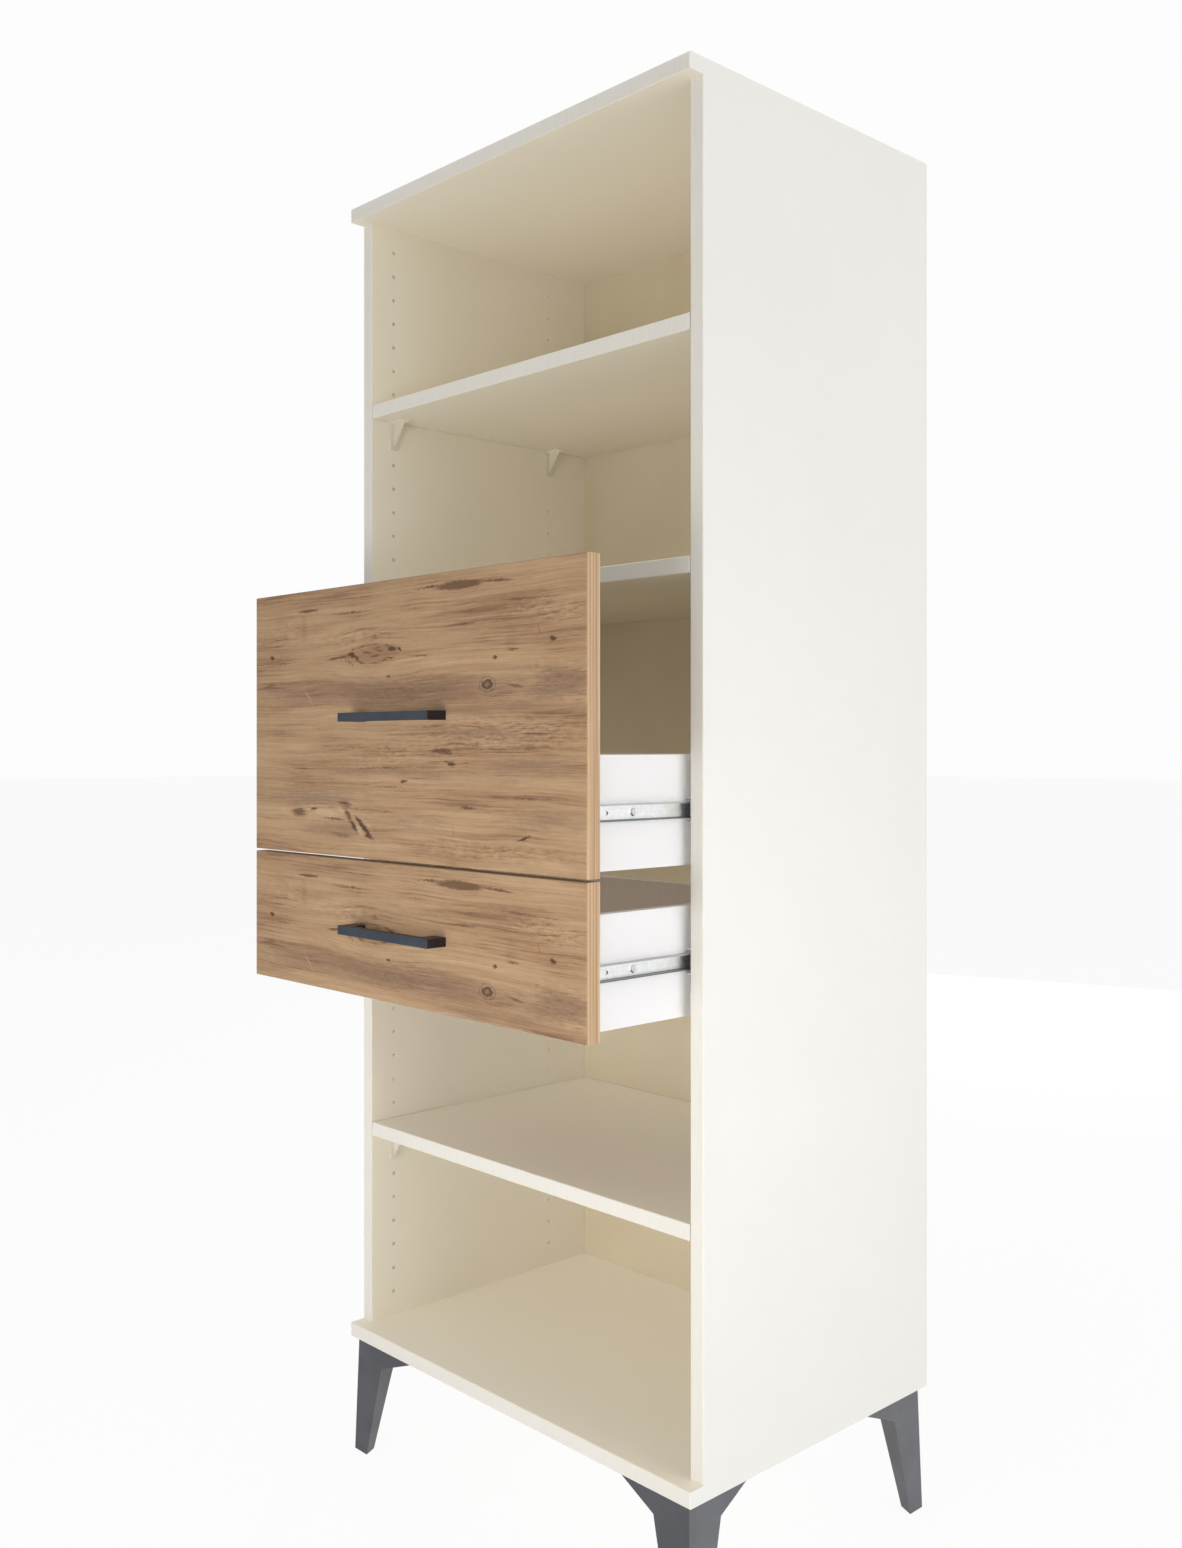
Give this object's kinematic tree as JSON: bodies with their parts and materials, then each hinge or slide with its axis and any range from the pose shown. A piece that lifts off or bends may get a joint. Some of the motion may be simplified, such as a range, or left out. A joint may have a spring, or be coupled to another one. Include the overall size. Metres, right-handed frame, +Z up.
{
  "type": "bookcase with drawers",
  "caption": "Tall narrow bookcase on faceted legs: open shelved bays above and below a pair of wood-fronted drawers on ball bearing slides, shown pulled part way out.",
  "frame": {"origin": "centre of the footprint of the whole part, drawers and handles as stored, on the floor", "axes": "+Z up, +X to the right as seen from the front, +Y from the front to the wall"},
  "size_m": [0.6, 0.614, 1.658],
  "materials": {
    "cream_board": "satin melamine",
    "white_board": "satin melamine",
    "thin_board": "satin lacquered hardboard",
    "pine_decor": "satin knotty pine decor",
    "clear_plastic": "milky clear",
    "leg_plastic": "fine matt",
    "handle_metal": "satin powder coat",
    "slide_steel": "zinc plated",
    "fixing_steel": "zinc plated"
  },
  "bodies": {
    "carcass": {"back_panel": "thin_board", "base_board": "cream_board", "base_screws": "fixing_steel", "front_left_leg": "leg_plastic", "front_right_leg": "leg_plastic", "left_side_panel": "cream_board", "leg_screws": "fixing_steel", "lower_left_slide_rail": "slide_steel", "lower_right_slide_rail": "slide_steel", "lower_shelf": "cream_board", "lower_shelf_brackets": "clear_plastic", "middle_shelf": "cream_board", "middle_shelf_brackets": "clear_plastic", "rail_screws": "fixing_steel", "rear_left_leg": "leg_plastic", "rear_right_leg": "leg_plastic", "right_side_panel": "cream_board", "top_board": "cream_board", "top_screws": "fixing_steel", "upper_left_slide_rail": "slide_steel", "upper_right_slide_rail": "slide_steel", "upper_shelf": "cream_board", "upper_shelf_brackets": "clear_plastic"},
    "upper_drawer": {"upper_drawer_back": "white_board", "upper_drawer_back_screws": "fixing_steel", "upper_drawer_bottom": "thin_board", "upper_drawer_cam_bolts": "fixing_steel", "upper_drawer_cams": "fixing_steel", "upper_drawer_front": "pine_decor", "upper_drawer_left_side": "white_board", "upper_drawer_right_side": "white_board", "upper_handle": "handle_metal", "upper_handle_screws": "fixing_steel", "upper_left_slide_runner": "slide_steel", "upper_right_slide_runner": "slide_steel", "upper_runner_screws": "fixing_steel"},
    "lower_drawer": {"lower_drawer_back": "white_board", "lower_drawer_back_screws": "fixing_steel", "lower_drawer_bottom": "thin_board", "lower_drawer_cam_bolts": "fixing_steel", "lower_drawer_cams": "fixing_steel", "lower_drawer_front": "pine_decor", "lower_drawer_left_side": "white_board", "lower_drawer_right_side": "white_board", "lower_handle": "handle_metal", "lower_handle_screws": "fixing_steel", "lower_left_slide_runner": "slide_steel", "lower_right_slide_runner": "slide_steel", "lower_runner_screws": "fixing_steel"},
    "upper_ball_cages": {"upper_left_ball_cage": "slide_steel", "upper_left_slide_balls": "slide_steel", "upper_right_ball_cage": "slide_steel", "upper_right_slide_balls": "slide_steel"},
    "lower_ball_cages": {"lower_left_ball_cage": "slide_steel", "lower_left_slide_balls": "slide_steel", "lower_right_ball_cage": "slide_steel", "lower_right_slide_balls": "slide_steel"}
  },
  "joints": [
    {"name": "upper_drawer_slide", "type": "slide", "parent": "carcass", "child": "upper_drawer", "axis": [0, -1, 0], "range_m": [-0.148, 0.102]},
    {"name": "upper_cage_slide", "type": "slide", "parent": "carcass", "child": "upper_ball_cages", "axis": [0, -1, 0], "range_m": [-0.074, 0.051]},
    {"name": "lower_drawer_slide", "type": "slide", "parent": "carcass", "child": "lower_drawer", "axis": [0, -1, 0], "range_m": [-0.148, 0.102]},
    {"name": "lower_cage_slide", "type": "slide", "parent": "carcass", "child": "lower_ball_cages", "axis": [0, -1, 0], "range_m": [-0.074, 0.051]}
  ],
  "couplings": [
    {"joint": "upper_cage_slide", "follows": "upper_drawer_slide", "ratio": 0.5},
    {"joint": "lower_cage_slide", "follows": "lower_drawer_slide", "ratio": 0.5}
  ]
}
